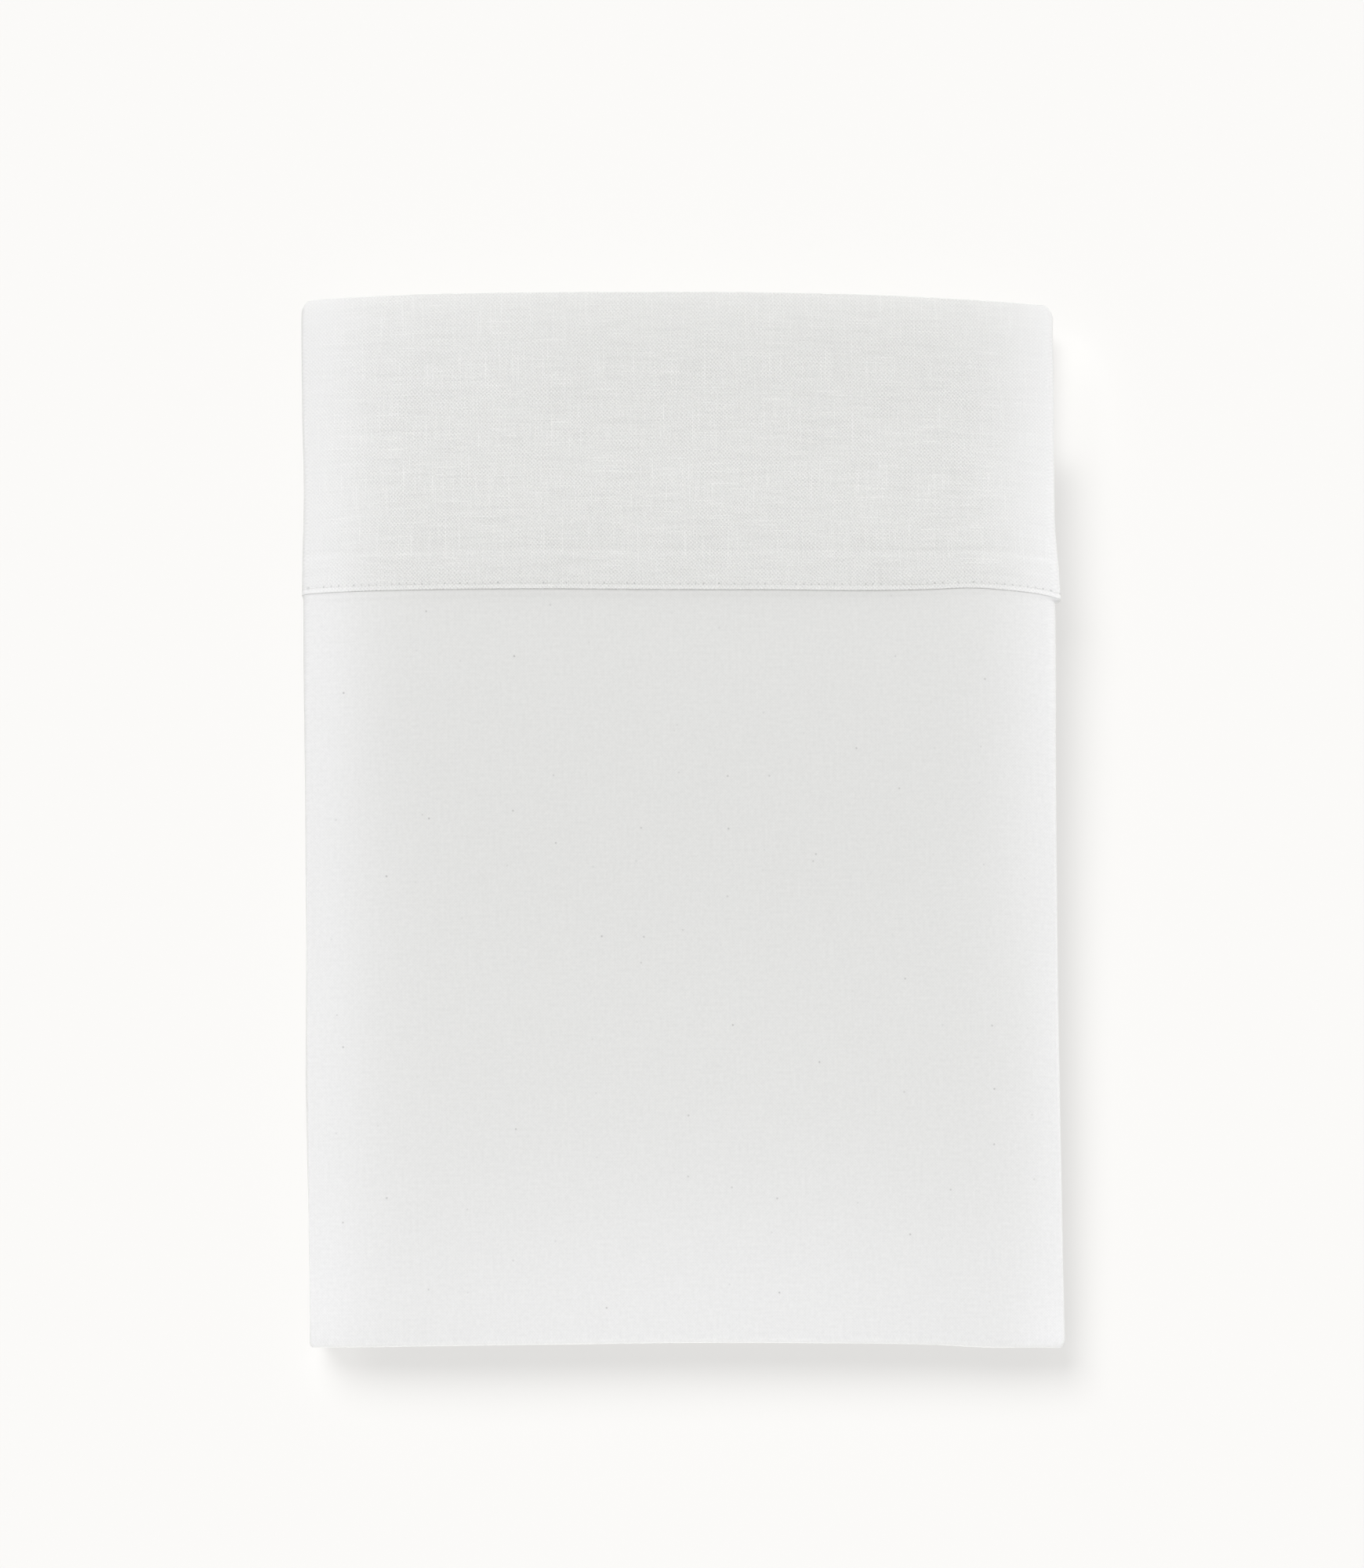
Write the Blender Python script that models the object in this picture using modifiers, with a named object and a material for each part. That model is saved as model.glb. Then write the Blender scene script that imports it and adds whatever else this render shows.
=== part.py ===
"""A queen flat sheet with a stitched-on linen cuff, folded into a pile.

The percale body is folded into nine plies across its width. That nine-ply band is then folded
back and forth into seven panels, so the body is one band in a zigzag section. The linen cuff is
folded with it, closes over the body's end on the top panel, and ends at the back of the pile.
The pile lies on its back: +Z up, +Y towards the cuff, origin at the middle of its underside.
"""

import math
from collections import namedtuple

import bmesh
import bpy

# Pile, in metres
FOLD_WIDTH = 0.260  # a width of 2.34 m folded into nine
PILE_LENGTH = 0.3657  # a length of 2.56 m folded into seven
HALF_WIDTH = FOLD_WIDTH / 2
HALF_LENGTH = PILE_LENGTH / 2
PANELS = 7

# Layers
BAND = 0.00306  # nine plies of percale
GAP = 0.0004  # between panels, and between the two pieces
PITCH = BAND + GAP
FOLD_RADIUS = PITCH / 2

# Cuff
SEAM = 0.0797  # how far back of the middle the cuff's stitched edge lies
ALLOWANCE = 0.0127  # the body's end inside the cuff
CUFF_BAND = 0.0061  # nine plies of doubled linen
SEAM_BAND = 0.0077  # the same with the body and the turned-in edges between them
LIP = (SEAM_BAND - BAND - 2 * GAP) / 2
CUFF_BASE = (PANELS - 1) * PITCH
PROUD_AT_SEAM = 0.0009  # how far the cuff stands out past the body at each side
PROUD_AT_BACK = 0.0001
PROUD_RUN = 0.03
RAMP = 0.14  # the length over which the top panel climbs into the cuff
RAMP_END = 0.006  # how far in front of the seam it has climbed all the way
SETTLE = 0.05  # the length over which the cuff thins again past the allowance
EDGE_RADIUS = 0.0012

# How each end of the band falls short of the outline, from the bottom up. side: -1 front, 1 back
FoldEnd = namedtuple("FoldEnd", "place side short")
FOLD_ENDS = (
    FoldEnd("bottom hem", -1, 0.0026),
    FoldEnd("fold 1", 1, 0.0014),
    FoldEnd("fold 2", -1, 0.0009),
    FoldEnd("fold 3", 1, 0.0022),
    FoldEnd("fold 4", -1, 0.0016),
    FoldEnd("fold 5", 1, 0.0010),
    FoldEnd("fold 6", -1, 0.0000),
)
# How far each panel's sides stand in from the outline, from the bottom up
Inset = namedtuple("Inset", "panel left right")
SIDE_INSETS = (
    Inset("panel 1", 0.0016, 0.0010),
    Inset("panel 2", 0.0007, 0.0013),
    Inset("panel 3", 0.0012, 0.0004),
    Inset("panel 4", 0.0005, 0.0009),
    Inset("panel 5", 0.0011, 0.0002),
    Inset("panel 6", 0.0004, 0.0000),
    Inset("panel 7", 0.0000, 0.0000),
)

# The uneven outline and the soft crown
LEAN = -0.0094  # sideways drift for each metre towards the back
SIDE_BOW = -0.0006  # sideways bow in the middle of the length
FLARE = 0.0006  # how much wider each side is at the front than at the cuff
FLARE_POWER = 2
SIDE_DROP = 0.15  # share of the height lost at a side edge
SIDE_POWER = 5
FRONT_DROP = 0.16  # share of the height lost at the front edge
FRONT_RUN = 0.14
BACK_DROP = 0.04
BACK_RUN = 0.016
# Each line across the pile: its y, its shift towards the back in the middle, and then the
# extra shift of each side with the power at which it grows
Bow = namedtuple("Bow", "line y middle left left_power right right_power")
BOWS = (
    Bow("front", -HALF_LENGTH, 0.0018, -0.0018, 1.2, -0.0018, 3),
    Bow("seam", SEAM, 0.0, -0.0022, 6.5, -0.0038, 18),
    Bow("back", HALF_LENGTH, 0.0, -0.0028, 3.1, -0.0046, 2.2),
)
BACK_CORNER = 0.0036  # radii of the corners, seen from above
FRONT_CORNER = 0.0012
CORNER_REACH = 3  # how many radii in from the end a corner's rounding fades away

# Mesh
STATIONS = 20  # steps across the width
STATION_POWER = 2  # crowds the steps towards the sides
PANEL_STEPS = 8
TOP_STEPS = 12
FOLD_STEPS = 6
CUFF_STEPS = 7


def smooth(t):
    """0 to 1 with soft ends."""
    t = min(max(t, 0.0), 1.0)
    return t * t * (3 - 2 * t)


def between(a, b, t):
    return a + (b - a) * t


def across():
    """The x of each section, from left to right, closer together near the sides."""
    for i in range(STATIONS + 1):
        t = 2 * i / STATIONS - 1
        yield math.copysign(HALF_WIDTH * (1 - (1 - abs(t)) ** STATION_POWER), t)


def panel_height(panel):
    """The middle of a panel's thickness, counting panels from 0 at the bottom."""
    return panel * PITCH + BAND / 2


def turn_at(fold):
    """The y at which a panel's straight run gives way to its fold."""
    return fold.side * (HALF_LENGTH - fold.short - FOLD_RADIUS - BAND / 2)


def body_section():
    """Points (y, z) along the middle of the band, from the bottom hem to its end in the cuff."""
    hem, *folds = FOLD_ENDS
    y = hem.side * (HALF_LENGTH - hem.short)
    points = []
    for panel, fold in enumerate(folds):
        z = panel_height(panel)
        turn = turn_at(fold)
        points += [(between(y, turn, i / PANEL_STEPS), z) for i in range(PANEL_STEPS)]
        for i in range(FOLD_STEPS):
            angle = math.pi * (i / FOLD_STEPS - 0.5)
            reach = fold.side * FOLD_RADIUS * math.cos(angle)
            points.append((turn + reach, z + FOLD_RADIUS * (1 + math.sin(angle))))
        y = turn
    end = SEAM + ALLOWANCE
    for i in range(TOP_STEPS + 1):
        here = between(y, end, i / TOP_STEPS)
        climb = smooth((here - SEAM + RAMP) / (RAMP - RAMP_END))
        points.append((here, panel_height(PANELS - 1) + climb * (LIP + GAP)))
    return points


def cuff_top(y):
    return CUFF_BASE + between(SEAM_BAND, CUFF_BAND, smooth((y - SEAM - ALLOWANCE) / SETTLE))


def rounded(y, z, start, steps=3):
    """A quarter turn of EDGE_RADIUS about (y, z)."""
    angles = [math.radians(start + 90 * i / steps) for i in range(steps + 1)]
    return [(y + EDGE_RADIUS * math.cos(a), z + EDGE_RADIUS * math.sin(a)) for a in angles]


def cuff_section():
    """The closed outline (y, z) of the cuff: a plate with a slot in its front for the body's end."""
    back = HALF_LENGTH - EDGE_RADIUS
    low, high = CUFF_BASE + EDGE_RADIUS, CUFF_BASE + CUFF_BAND - EDGE_RADIUS
    depth = SEAM + ALLOWANCE + GAP
    slot_low = CUFF_BASE + LIP
    slot_high = CUFF_BASE + SEAM_BAND - LIP
    rows = [between(SEAM, back, i / CUFF_STEPS) for i in range(CUFF_STEPS)]
    outline = [(y, CUFF_BASE) for y in rows]
    outline += rounded(back, low, -90) + rounded(back, high, 0)
    crest = SEAM + ALLOWANCE
    tops = [crest + SETTLE, crest + SETTLE / 2, crest, between(SEAM, crest, 0.5), SEAM]
    outline += [(y, cuff_top(y)) for y in reversed(rows) if y > crest + SETTLE]
    outline += [(y, cuff_top(y)) for y in tops]
    outline += [(SEAM, slot_high), (depth, slot_high), (depth, slot_low), (SEAM, slot_low)]
    return outline


def bow(x, row):
    """How far a line across the pile is moved towards the back at x."""
    amount, power = (row.left, row.left_power) if x < 0 else (row.right, row.right_power)
    return row.middle + amount * min(abs(x) / HALF_WIDTH, 1.0) ** power


def rounding(x, radius, from_end):
    """How far a corner of this radius draws a point in from the end of the pile."""
    near_side = max(radius - max(HALF_WIDTH - abs(x), 0.0), 0.0)
    fade = max(1 - max(from_end, 0.0) / (CORNER_REACH * radius), 0.0)
    return fade * (radius - math.sqrt(radius**2 - near_side**2))


def kept_near(share, run, from_end):
    """How much of the height is left near an end that rolls off over this run."""
    return 1 - share * min(max(1 - from_end / run, 0.0), 1.0) ** 2


def inset_at(z, side):
    """The left or right inset at a height, blended between the panels."""
    at = min(max(z / PITCH - 0.5, 0.0), PANELS - 1)
    lower = min(int(at), PANELS - 2)
    below, above = (getattr(row, side) for row in SIDE_INSETS[lower : lower + 2])
    return between(below, above, at - lower)


def settled(x, y, z):
    """Moves a point of the flat, square pile to where it lies in the uneven, crowned one."""
    front, seam, back = BOWS
    if y < SEAM:
        moved = between(bow(x, front), bow(x, seam), (y - front.y) / (SEAM - front.y))
    else:
        moved = between(bow(x, seam), bow(x, back), (y - SEAM) / (back.y - SEAM))
    from_front, from_back = y + HALF_LENGTH, HALF_LENGTH - y
    moved += rounding(x, FRONT_CORNER, from_front) - rounding(x, BACK_CORNER, from_back)
    keep = 1 - SIDE_DROP * min(abs(x) / HALF_WIDTH, 1.0) ** SIDE_POWER
    keep *= kept_near(FRONT_DROP, FRONT_RUN, from_front)
    keep *= kept_near(BACK_DROP, BACK_RUN, from_back)
    inset = inset_at(z, "left" if x < 0 else "right")
    wider = FLARE * max((SEAM - y) / (SEAM + HALF_LENGTH), 0.0) ** FLARE_POWER
    x *= (HALF_WIDTH - inset + wider) / HALF_WIDTH
    x += LEAN * y + SIDE_BOW * (1 - (y / HALF_LENGTH) ** 2)
    return x, y + moved, z * keep


def cloth(name, colour, roughness):
    material = bpy.data.materials.new(name)
    material.use_nodes = True
    shader = material.node_tree.nodes["Principled BSDF"]
    shader.inputs["Base Color"].default_value = (*colour, 1)
    shader.inputs["Roughness"].default_value = roughness
    shader.inputs["Metallic"].default_value = 0.0
    material.diffuse_color = (*colour, 1)
    return material


def finished(name, mesh, material, collection):
    """The piece, moved to where it lies in the settled pile, as an object of its own."""
    for vertex in mesh.vertices:
        vertex.co = settled(*vertex.co)
    mesh.materials.clear()
    mesh.materials.append(material)
    mesh.shade_smooth()
    mesh.set_sharp_from_angle(angle=math.radians(40))
    obj = bpy.data.objects.new(name, mesh)
    collection.objects.link(obj)
    return obj


def centred(objects):
    """Moves the meshes sideways so that the origin is under the middle of their common box."""
    points = [vertex.co for obj in objects for vertex in obj.data.vertices]
    for axis in (0, 1):
        values = [point[axis] for point in points]
        middle = (min(values) + max(values)) / 2
        for point in points:
            point[axis] -= middle


def swept(section, closed):
    """A bmesh of the section's line carried across the width. A closed one gets its end faces."""
    bm = bmesh.new()
    places = list(across())
    points = [bm.verts.new((places[0], y, z)) for y, z in section]
    following = points[1:] + points[:1] if closed else points[1:]
    moving = [bm.edges.new(pair) for pair in zip(points, following)]
    for here, there in zip(places, places[1:]):
        made = bmesh.ops.extrude_edge_only(bm, edges=moving)["geom"]
        moving = [g for g in made if isinstance(g, bmesh.types.BMEdge)]
        new = [g for g in made if isinstance(g, bmesh.types.BMVert)]
        bmesh.ops.translate(bm, verts=new, vec=(there - here, 0, 0))
    if closed:
        bmesh.ops.holes_fill(bm, edges=bm.edges[:], sides=0)
        bmesh.ops.recalc_face_normals(bm, faces=bm.faces[:])
        bmesh.ops.triangulate(bm, faces=[f for f in bm.faces if len(f.verts) > 4])
    return bm


def mesh_from(bm, name):
    mesh = bpy.data.meshes.new(name)
    bm.to_mesh(mesh)
    bm.free()
    return mesh


def make_body(collection, material):
    """The percale body: the band's middle surface, given its thickness and then settled."""
    surface = bpy.data.objects.new("band middle", mesh_from(swept(body_section(), False), "band"))
    collection.objects.link(surface)
    shell = surface.modifiers.new("nine plies", "SOLIDIFY")
    shell.thickness = BAND
    shell.offset = 0.0
    shell.use_even_offset = True
    bpy.context.view_layer.update()
    graph = bpy.context.evaluated_depsgraph_get()
    solid = bpy.data.meshes.new_from_object(surface.evaluated_get(graph))
    bpy.data.objects.remove(surface)
    return finished("percale_body", solid, material, collection)


def make_cuff(collection, material):
    """The linen cuff: one section with the slot that the body's end lies in, widest at its seam."""
    solid = mesh_from(swept(cuff_section(), True), "linen_cuff")
    for vertex in solid.vertices:
        proud = between(PROUD_AT_SEAM, PROUD_AT_BACK, smooth((vertex.co.y - SEAM) / PROUD_RUN))
        vertex.co.x *= (HALF_WIDTH + proud) / HALF_WIDTH
    return finished("linen_cuff", solid, material, collection)


def main():
    for obj in list(bpy.data.objects):
        bpy.data.objects.remove(obj)
    collection = bpy.data.collections.new("folded flat sheet")
    bpy.context.scene.collection.children.link(collection)
    body = make_body(collection, cloth("cotton percale", (0.82, 0.82, 0.81), 0.85))
    cuff = make_cuff(collection, cloth("washed linen", (0.82, 0.82, 0.80), 0.9))
    centred([body, cuff])


main()
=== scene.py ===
"""A white flat sheet, folded into a pile: the percale body, the linen cuff and its topstitching.

Both cloths are true sheets. Each starts as a flat grid and is folded into nine plies across its
width, and the plies are folded back and forth along their length into the pile.
"""

import math
from collections import namedtuple

import bmesh
import bpy
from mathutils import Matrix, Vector, noise


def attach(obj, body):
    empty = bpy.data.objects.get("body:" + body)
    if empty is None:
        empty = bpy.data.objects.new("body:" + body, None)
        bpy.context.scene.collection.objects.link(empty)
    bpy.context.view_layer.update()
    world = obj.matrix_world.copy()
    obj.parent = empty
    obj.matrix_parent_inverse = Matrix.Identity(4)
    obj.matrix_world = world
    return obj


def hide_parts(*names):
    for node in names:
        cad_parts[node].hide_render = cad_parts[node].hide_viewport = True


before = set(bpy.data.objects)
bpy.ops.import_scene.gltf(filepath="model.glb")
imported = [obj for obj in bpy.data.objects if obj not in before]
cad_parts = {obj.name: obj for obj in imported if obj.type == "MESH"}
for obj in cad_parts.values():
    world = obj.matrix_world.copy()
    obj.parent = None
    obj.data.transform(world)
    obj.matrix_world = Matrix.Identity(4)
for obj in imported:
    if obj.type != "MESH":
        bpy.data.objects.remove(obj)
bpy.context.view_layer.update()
noise.seed_set(7)  # for noise_vector, whose swings would otherwise differ from run to run

# ---------------- the pile, in metres
FOLD_WIDTH = 0.2600
PILE_LENGTH = 0.3668
HALF_WIDTH = FOLD_WIDTH / 2
HALF_LENGTH = PILE_LENGTH / 2
PLIES = 9
PANELS = 7
TOP_PANEL = PANELS - 1  # panels are counted from 0 at the bottom
PLY = 0.00034  # from one pressed ply of percale to the next
BAND = PLIES * PLY
GAP = 0.0004  # between two panels
PITCH = BAND + GAP
FOLD_RADIUS = PITCH / 2
SKIN = 0.0001  # thinner than the real cloth, so that the pressed plies stay apart

# The cuff, and how far each of its layers lies from the middle of its ply, in plies
SEAM = 0.0803  # the y of its stitched edge
ALLOWANCE = 0.0127  # how far the turned-in edges and the body's end reach into it
CUFF_PLY = 0.00068  # a doubled ply of linen
SEAM_PLY = 0.00085  # the same with the body and both turned-in edges in it
RAMP = 0.14  # how far in front of the seam the plies start to thicken
RAMP_END = 0.006  # how far in front of it they are as thick as it is
SETTLE = 0.05  # how far behind the turned-in edges they are down to a doubled ply
PROUD_AT_SEAM = {"left": 0.0002, "right": 0.0017}  # how far its sides stand out past the body
PROUD_AT_BACK = 0.0001
PROUD_RUN = 0.03
CUFF_LAYER = 0.25
SEAM_LAYER = 0.27
TURNED_LAYER = 0.135
HEM = 0.0127  # the depth of the hem at the body's bottom end
HEM_LAYER = 0.45

# The place of each ply in the band, counted down from the display face, in the order in
# which they follow each other across the sheet
PLY_PLACES = (8, 2, 5, 6, 1, 9, 7, 3, 4)
FACE_PLY = PLY_PLACES.index(1)
# Where the plies' side folds nest: the places in a nest, its outer radius in plies, its inset
Nest = namedtuple("Nest", "side places radius inset")
NESTS = (
    Nest("left", range(1, 7), 2.5, 0.0),
    Nest("left", range(7, 10), 1.0, 0.0003),
    Nest("right", range(1, 10), 4.0, 0.0),
)
EDGE_INSETS = {"left": 0.0021, "right": 0.0013}  # of the two free side edges, inside the pile

# How far each end of the band is short of the outline, from the bottom up. side: -1 front, 1 back
FoldEnd = namedtuple("FoldEnd", "place side short")
FOLD_ENDS = (
    FoldEnd("bottom hem", -1, 0.0034),
    FoldEnd("fold 1", 1, 0.0020),
    FoldEnd("fold 2", -1, 0.0014),
    FoldEnd("fold 3", 1, 0.0034),
    FoldEnd("fold 4", -1, 0.0026),
    FoldEnd("fold 5", 1, 0.0014),
    FoldEnd("fold 6", -1, 0.0000),
)
# How far each panel's sides stand in from the outline, and how far the panel is turned in the
# pile, in radians, from the bottom up
Panel = namedtuple("Panel", "name left right turn")
PANEL_ROWS = (
    Panel("panel 1", 0.0021, 0.0026, 0.0046),
    Panel("panel 2", 0.0011, 0.0011, -0.0031),
    Panel("panel 3", 0.0024, 0.0010, 0.0042),
    Panel("panel 4", 0.0008, 0.0021, -0.0036),
    Panel("panel 5", 0.0013, 0.0005, 0.0022),
    Panel("panel 6", -0.0004, -0.0005, 0.0),
    Panel("panel 7", 0.0000, -0.0005, 0.0),
)
# How far each ply has slipped towards the front at the seam, by its place in the band
Slip = namedtuple("Slip", "place left right")
SLIPS = (
    Slip(1, 0.0000, 0.0000),
    Slip(2, 0.0026, 0.0012),
    Slip(3, 0.0009, 0.0013),
    Slip(4, 0.0005, 0.0008),
    Slip(5, 0.0013, 0.0017),
    Slip(6, 0.0010, 0.0006),
    Slip(7, 0.0004, 0.0012),
    Slip(8, 0.0016, 0.0009),
    Slip(9, 0.0008, 0.0014),
)

# The uneven outline and the soft crown
LEAN = -0.0094  # the sideways shift for each metre towards the back
SIDE_BOW = -0.0006  # the sideways shift of the middle
FLARE = 0.0009  # how much further out its sides stand at the front than at the seam
FLARE_POWER = 2
SIDE_DROP = 0.15  # the share of the height that is lost at the sides
SIDE_POWER = 5
FRONT_DROP = 0.16  # the share lost at the front and the back, each over its run
FRONT_RUN = 0.14
BACK_DROP = 0.04
BACK_RUN = 0.016
# Each line across the pile: its y, its shift towards the back in the middle, and then the
# extra shift of each side with the power at which it grows
Bow = namedtuple("Bow", "line y middle left left_power right right_power")
BOWS = (
    Bow("front", -HALF_LENGTH, 0.0019, -0.0019, 1.2, -0.0021, 3),
    Bow("seam", SEAM, 0.0, -0.0016, 6.5, -0.0028, 14),
    Bow("back", HALF_LENGTH, 0.0, -0.0028, 3.1, -0.0046, 2.2),
)
BACK_CORNER = {"left": 0.0036, "right": 0.0036}  # the radius of each corner
FRONT_CORNER = {"left": 0.0014, "right": 0.0026}
CORNER_REACH = 3  # how far from the end a corner's rounding has died out, in radii
# Small waves of the outline and the seam: where each is, how far it reaches and how far it goes
Wave = namedtuple("Wave", "line x y reach_x reach_y move_x move_y")
WAVES = (
    Wave("front", 0.104, -HALF_LENGTH, 0.013, 0.03, 0.0, -0.0006),
    Wave("seam", 0.062, SEAM, 0.022, 0.03, 0.0, -0.0003),
    Wave("seam", 0.101, SEAM, 0.012, 0.03, 0.0, 0.0007),
    Wave("seam", -0.050, SEAM, 0.030, 0.03, 0.0, 0.0003),
    Wave("right side", HALF_WIDTH, 0.062, 0.03, 0.034, 0.0005, 0.0),
    Wave("right side", HALF_WIDTH, 0.175, 0.03, 0.012, -0.0004, 0.0),
    Wave("right side", HALF_WIDTH, -0.155, 0.03, 0.05, 0.0003, 0.0),
    Wave("left side", -HALF_WIDTH, -0.120, 0.03, 0.08, -0.0003, 0.0),
    Wave("left side", -HALF_WIDTH, 0.116, 0.03, 0.020, 0.0006, 0.0),
)

# The topstitching
STITCH = 0.00266
STITCH_FROM_EDGE = 0.0020
THREAD = 0.0001  # radius


def smooth(t):
    """0 to 1 with soft ends."""
    t = min(max(t, 0.0), 1.0)
    return t * t * (3 - 2 * t)


def between(a, b, t):
    """From a to b as t goes from 0 to 1."""
    return a + (b - a) * t


def bell(distance, half_width):
    """1 in the middle, falling softly to nothing about two half widths away."""
    return math.exp(-((distance / half_width) ** 2))


# ---------------- settling the square pile
def bow(x, row):
    """How far a line across the pile is moved towards the back at x."""
    amount, power = (row.left, row.left_power) if x < 0 else (row.right, row.right_power)
    return row.middle + amount * min(abs(x) / HALF_WIDTH, 1.0) ** power


def rounding(x, radius, from_end):
    """How far a corner of this radius draws a point in from the end of the pile."""
    near_side = max(radius - max(HALF_WIDTH - abs(x), 0.0), 0.0)
    fade = max(1 - max(from_end, 0.0) / (CORNER_REACH * radius), 0.0)
    return fade * (radius - math.sqrt(radius**2 - near_side**2))


def kept_near(share, run, from_end):
    """How much of the height is left near an end that rolls off over this run."""
    return 1 - share * min(max(1 - from_end / run, 0.0), 1.0) ** 2


def panel_at(z, field):
    """An inset or the turn at a height, blended between the panels."""
    at = min(max(z / PITCH - 0.5, 0.0), PANELS - 1)
    lower = min(int(at), PANELS - 2)
    below, above = (getattr(row, field) for row in PANEL_ROWS[lower : lower + 2])
    return between(below, above, at - lower)


def settled(x, y, z):
    """Moves a point of the flat, square pile to where it lies in the uneven, crowned one."""
    front, seam, back = BOWS
    if y < SEAM:
        moved = between(bow(x, front), bow(x, seam), (y - front.y) / (SEAM - front.y))
    else:
        moved = between(bow(x, seam), bow(x, back), (y - SEAM) / (back.y - SEAM))
    side = "left" if x < 0 else "right"
    from_front, from_back = y + HALF_LENGTH, HALF_LENGTH - y
    front_rounding = rounding(x, FRONT_CORNER[side], from_front)
    moved += front_rounding - rounding(x, BACK_CORNER[side], from_back)
    waves = [(bell(x - w.x, w.reach_x) * bell(y - w.y, w.reach_y), w) for w in WAVES]
    moved += sum(share * wave.move_y for share, wave in waves)
    keep = 1 - SIDE_DROP * min(abs(x) / HALF_WIDTH, 1.0) ** SIDE_POWER
    keep *= kept_near(FRONT_DROP, FRONT_RUN, from_front)
    keep *= kept_near(BACK_DROP, BACK_RUN, from_back)
    wider = FLARE * max((SEAM - y) / (SEAM + HALF_LENGTH), 0.0) ** FLARE_POWER
    turn = panel_at(z, "turn")
    moved -= turn * x
    x *= (HALF_WIDTH - panel_at(z, side) + wider) / HALF_WIDTH
    x += (LEAN + turn) * y + SIDE_BOW * (1 - (y / HALF_LENGTH) ** 2)
    x += sum(share * wave.move_x for share, wave in waves)
    return x, y + moved, z * keep


# The folds wander: a smooth drift of every point, the same for all cloth there, so that
# no ply passes through another
DRIFT = (0.0008, 0.0013, 0.0009)  # how far at most, along each axis
DRIFT_RUN = (0.065, 0.060, 0.0045)  # how far apart its swings are
DRIFT_POWER = 4  # how fast it grows towards the sides and the ends
DRIFT_OUTSIDE = 0.3  # the share of its sideways part that is left at the top and the underside
DRIFT_TOP = 0.2  # how far into the top panel it reaches, in panels


def drifted(x, y, z):
    """Adds the drift, which fades towards the underside, the display face and the middle."""
    at = Vector((x / DRIFT_RUN[0], y / DRIFT_RUN[1], z / DRIFT_RUN[2]))
    swing = noise.noise_vector(at)
    top = TOP_PANEL * PITCH
    inside = smooth(z / PITCH) * smooth((top - z) / PITCH + DRIFT_TOP)
    near_side = (abs(x) / HALF_WIDTH) ** DRIFT_POWER
    near_end = (abs(y) / HALF_LENGTH) ** DRIFT_POWER
    x += DRIFT[0] * swing.x * near_side * between(DRIFT_OUTSIDE, 1.0, inside)
    y += DRIFT[1] * swing.y * near_end * inside
    return x, y, z + DRIFT[2] * swing.z * inside


# ---------------- across: nine plies
# The place across the pile is side * half width + shift + plies * ply. height: in plies above
# the band's underside. facing: the way that the sheet's face looks, across and up. place: 1 on
# the display face. ply: counted along the sheet, with the share of its run or of the turn that
# follows it. run: 1 on a run, 0 on a turn.
Column = namedtuple("Column", "side shift plies height facing_x facing_up place ply share run")
# A run or a turn of the sheet across its width, with the column at each share of it
Stretch = namedtuple("Stretch", "start length steps even column")

RUN_STEPS = 10
FACE_STEPS = 52
PRESSED = 3  # how square a pressed fold is: 2 would be a half circle
TURN_LENGTH = 3.35  # the length round such a fold, in radii
WIDE_TURN = 1.5  # radius in plies
WIDE_TURN_STEPS = 8
TIGHT_TURN_STEPS = 6


def pressed_out(angle):
    """How much further out than a half circle a pressed fold lies at an angle round it."""
    return (abs(math.cos(angle)) ** PRESSED + abs(math.sin(angle)) ** PRESSED) ** (-1 / PRESSED)


def nest(side, place):
    """The nest that a ply's fold belongs to."""
    return next(n for n in NESTS if n.side == side and place in n.places)


def run_of(ply, place, left, right, outward):
    """The column at each share of a ply's run between its two side folds."""
    left_inset = left.inset + (EDGE_INSETS["left"] if ply == 0 else 0.0)
    right_inset = right.inset + (EDGE_INSETS["right"] if ply == PLIES - 1 else 0.0)
    height = PLIES - place + 0.5

    def column(share):
        t = share if outward > 0 else 1 - share
        shift = between(left_inset, -right_inset, t)
        plies = between(left.radius, -right.radius, t)
        return Column(2 * t - 1, shift, plies, height, 0.0, outward, place, ply, share, 1)

    length = FOLD_WIDTH - left_inset - right_inset - (left.radius + right.radius) * PLY
    return length, column


def turn_of(ply, place, following, outward):
    """The column at each share of the half turn from a ply to the next."""
    rise = place - following
    radius = abs(rise) / 2
    outer = nest("right" if outward > 0 else "left", place)

    def column(share):
        angle = math.pi * share
        out = pressed_out(angle)
        return Column(
            outward,
            -outward * outer.inset,
            outward * (radius * out * math.sin(angle) - outer.radius),
            PLIES - place + 0.5 + rise / 2 * (1 - out * math.cos(angle)),
            -math.copysign(out * math.sin(angle), rise),
            outward * out * math.cos(angle),
            between(place, following, share),
            ply,
            share,
            0,
        )

    return TURN_LENGTH * radius * PLY, radius, column


def stretches():
    """The sheet's runs and turns in order, from its left edge to its right."""
    made, start = [], 0.0
    for ply, place in enumerate(PLY_PLACES):
        outward = 1 if ply % 2 == 0 else -1  # even plies run from left to right
        length, column = run_of(ply, place, nest("left", place), nest("right", place), outward)
        made.append(Stretch(start, length, RUN_STEPS, False, column))
        start += length
        if ply < PLIES - 1:
            length, radius, column = turn_of(ply, place, PLY_PLACES[ply + 1], outward)
            steps = WIDE_TURN_STEPS if radius >= WIDE_TURN else TIGHT_TURN_STEPS
            made.append(Stretch(start, length, steps, True, column))
            start += length
    return made


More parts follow.
